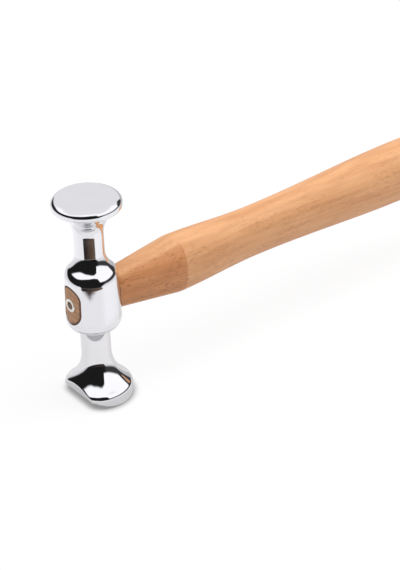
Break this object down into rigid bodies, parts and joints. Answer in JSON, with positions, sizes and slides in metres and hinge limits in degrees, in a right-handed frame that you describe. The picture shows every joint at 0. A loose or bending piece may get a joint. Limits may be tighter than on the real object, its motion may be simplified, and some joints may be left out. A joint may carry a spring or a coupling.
{
  "type": "panel hammer",
  "caption": "Panel hammer with a chromed head, a flat round face, a crowned half-moon face and a shouldered oval beech handle held by a ring wedge.",
  "frame": {"origin": "centre of the flat round face", "axes": "+Z is the outward normal of the round face, along the head's axis; +X runs along the handle towards the grip; +Y completes a right-handed frame and is square to the hammer's plane of symmetry"},
  "size_m": [0.32, 0.0404, 0.1292],
  "materials": {
    "head_chrome": "polished plate, satin on the round face",
    "handle_beech": "clear lacquered beech",
    "wedge_steel": "bright steel tube"
  },
  "bodies": {
    "root": {"hammer_head": "head_chrome", "handle": "handle_beech", "ring_wedge": "wedge_steel"}
  },
  "joints": []
}
